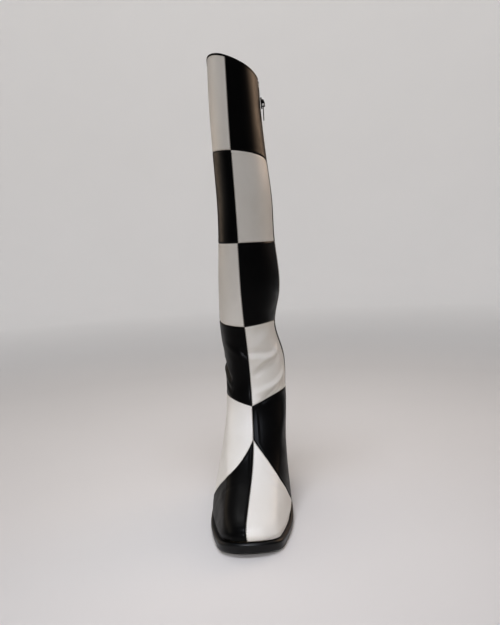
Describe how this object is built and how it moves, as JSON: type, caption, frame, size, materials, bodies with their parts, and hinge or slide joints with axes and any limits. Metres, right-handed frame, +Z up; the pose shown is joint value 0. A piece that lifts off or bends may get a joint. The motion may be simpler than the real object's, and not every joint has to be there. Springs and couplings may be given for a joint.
{
  "type": "heeled boot",
  "caption": "Knee-high leather boot for the right foot, with a checkerboard of black and off-white panels, square toe, block heel, black sole and an inside zip with a swinging pull tab.",
  "frame": {"origin": "middle of the heel's flat ground contact", "axes": "+Z up along the shaft, -Y towards the toe, +X towards the inside of the leg, where the zip is"},
  "size_m": [0.0901, 0.2804, 0.5165],
  "materials": {
    "leather_white": "smooth semi-gloss off-white leather",
    "leather_black": "smooth glossy black leather",
    "lining": "matt dark lining leather",
    "sole_rubber": "satin black rubber",
    "heel_black": "lacquered black",
    "insock": "matt insock leather",
    "zip_cloth": "woven black tape",
    "zip_teeth": "black nylon coil",
    "zip_metal": "glossy black enamel on die-cast metal"
  },
  "bodies": {
    "boot": {"upper": "leather_white", "outsole": "sole_rubber", "insole": "insock", "heel": "heel_black", "heel_top_piece": "sole_rubber", "zip_tape_front": "zip_cloth", "zip_tape_back": "zip_cloth", "zip_chain": "zip_teeth", "zip_slider": "zip_metal"},
    "pull_tab": {"zip_pull": "zip_metal"}
  },
  "joints": [
    {"name": "pull_swing", "type": "hinge", "parent": "boot", "child": "pull_tab", "pos_m": [0.02904, 0, 0.46521], "axis": [0, -1, 0], "range_deg": [0, 150]}
  ]
}
